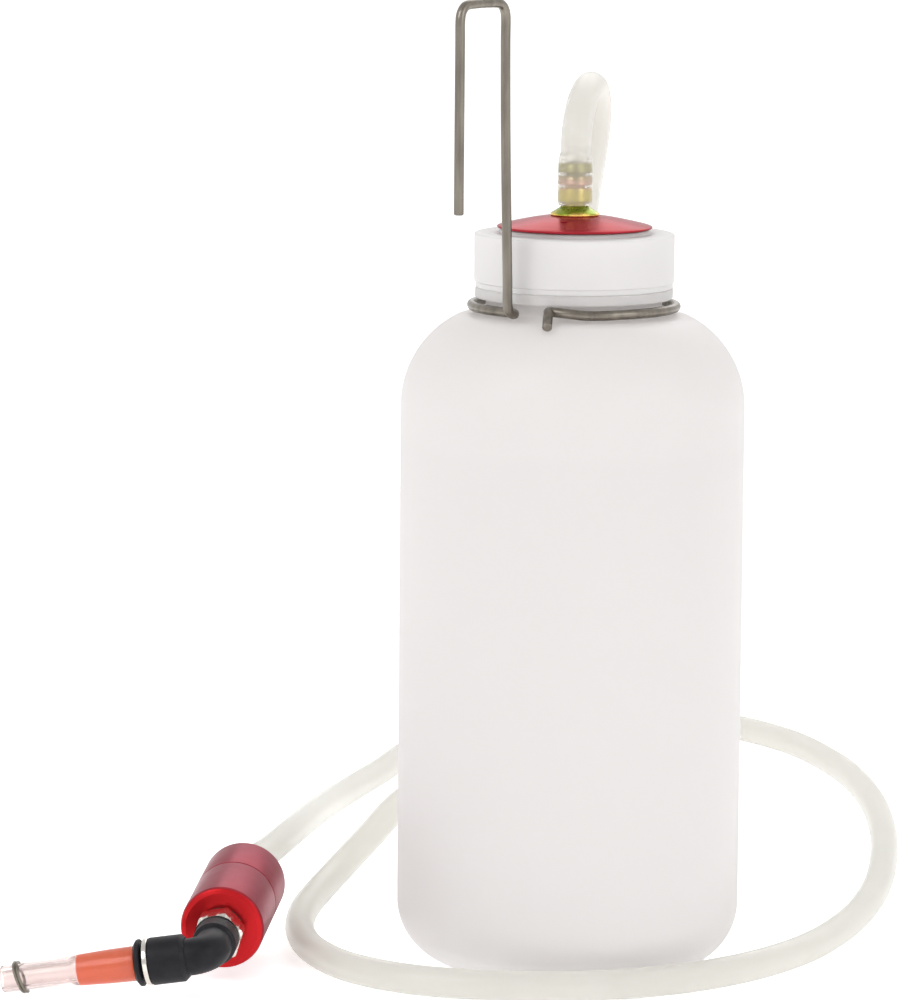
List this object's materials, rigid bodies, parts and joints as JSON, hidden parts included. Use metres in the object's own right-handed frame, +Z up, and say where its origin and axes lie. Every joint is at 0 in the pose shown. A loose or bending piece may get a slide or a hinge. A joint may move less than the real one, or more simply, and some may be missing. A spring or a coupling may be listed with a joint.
{
  "type": "vacuum collection bottle",
  "caption": "Translucent bottle with screw cap, vented dome and hose barb, wire hanger, long hose, in-line one-way valve, swivel elbow and nipple hose, for drawing off brake fluid.",
  "frame": {"origin": "centre of the bottle's base, on the surface it stands on", "axes": "+Z up along the bottle's axis, -Y towards the front, where the hanger's hook is, +X to the right seen from the front"},
  "size_m": [0.2465, 0.4267, 0.2609],
  "materials": {
    "milky_plastic": "translucent milky polyethylene, smooth and slightly waxy",
    "white_plastic": "white moulded polypropylene, satin",
    "red_anodised": "turned and red anodised, satin sides and bright faces",
    "yellow_zinc": "yellow chromated zinc, slightly iridescent",
    "steel_wire": "drawn steel wire, dull",
    "nickel": "nickel plated brass",
    "black_plastic": "black glass-filled nylon, satin",
    "black_rubber": "nitrile rubber",
    "clear_hose": "soft clear hose, milky along its edges",
    "clear_sleeve": "clear soft plastic",
    "orange_plastic": "bright orange polyurethane tube"
  },
  "bodies": {
    "bottle_body": {"bottle": "milky_plastic", "hose_floor": "clear_hose", "outlet_cuff": "clear_hose", "valve_body": "red_anodised", "valve_cap": "red_anodised", "valve_oring": "black_rubber", "valve_seat": "nickel", "valve_spring": "steel_wire", "outlet_barb": "yellow_zinc", "stud_seal": "black_rubber", "elbow_stud": "nickel", "swivel_oring": "black_rubber"},
    "cap_fitting": {"vent_dome": "red_anodised", "dome_gasket": "black_rubber", "hose_barb": "yellow_zinc", "barb_washer": "nickel", "barb_nut": "nickel", "barb_cuff": "clear_hose", "hose_riser": "clear_hose"},
    "cap": {"screw_cap": "white_plastic", "cap_liner": "clear_sleeve"},
    "hanger_wire": {"hanger": "steel_wire"},
    "check_ball": {"valve_ball": "nickel"},
    "elbow": {"elbow_body": "black_plastic", "collar_ring": "nickel", "grip_ring": "nickel", "tube_seal": "black_rubber"},
    "release": {"release_ring": "black_plastic"},
    "tube": {"signal_tube": "orange_plastic"},
    "nipple": {"nipple_hose": "clear_sleeve"},
    "clamp": {"wire_clamp": "steel_wire"}
  },
  "joints": [
    {"name": "cap_lift", "type": "slide", "parent": "bottle_body", "child": "cap_fitting", "axis": [0, 0, 1], "range_m": [0, 0.01]},
    {"name": "cap_turn", "type": "hinge", "parent": "cap_fitting", "child": "cap", "pos_m": [0, 0, 0.19], "axis": [0, 0, 1], "range_deg": [0, 902]},
    {"name": "hanger_swivel", "type": "hinge", "parent": "bottle_body", "child": "hanger_wire", "pos_m": [0, 0, 0.1779], "axis": [0, 0, 1], "range_deg": [-120, 180]},
    {"name": "ball_lift", "type": "slide", "parent": "bottle_body", "child": "check_ball", "axis": [0.0816, 0.9928, 0.0872], "range_m": [0, 0.0018], "stiffness_N_per_m": 40, "springref_m": -0.003, "deforming": ["valve_spring"]},
    {"name": "elbow_swivel", "type": "hinge", "parent": "bottle_body", "child": "elbow", "pos_m": [-0.0933, -0.05665, 0.01245], "axis": [0.0816, 0.9928, 0.0872], "continuous": true},
    {"name": "release_press", "type": "slide", "parent": "elbow", "child": "release", "axis": [0.9838, -0.0943, 0.1524], "range_m": [0, 0.0005], "stiffness_N_per_m": 400},
    {"name": "tube_pull", "type": "slide", "parent": "elbow", "child": "tube", "axis": [-0.9838, 0.0943, -0.1524], "range_m": [0, 0.014]},
    {"name": "nipple_pull", "type": "slide", "parent": "tube", "child": "nipple", "axis": [-0.9838, 0.0943, -0.1524], "range_m": [0, 0.012]},
    {"name": "clamp_slide", "type": "slide", "parent": "nipple", "child": "clamp", "axis": [0.9838, -0.0943, 0.1524], "range_m": [-0.002, 0.007]}
  ],
  "couplings": [
    {"joint": "cap_turn", "follows": "cap_lift", "rad_per_m": 1570.8}
  ]
}
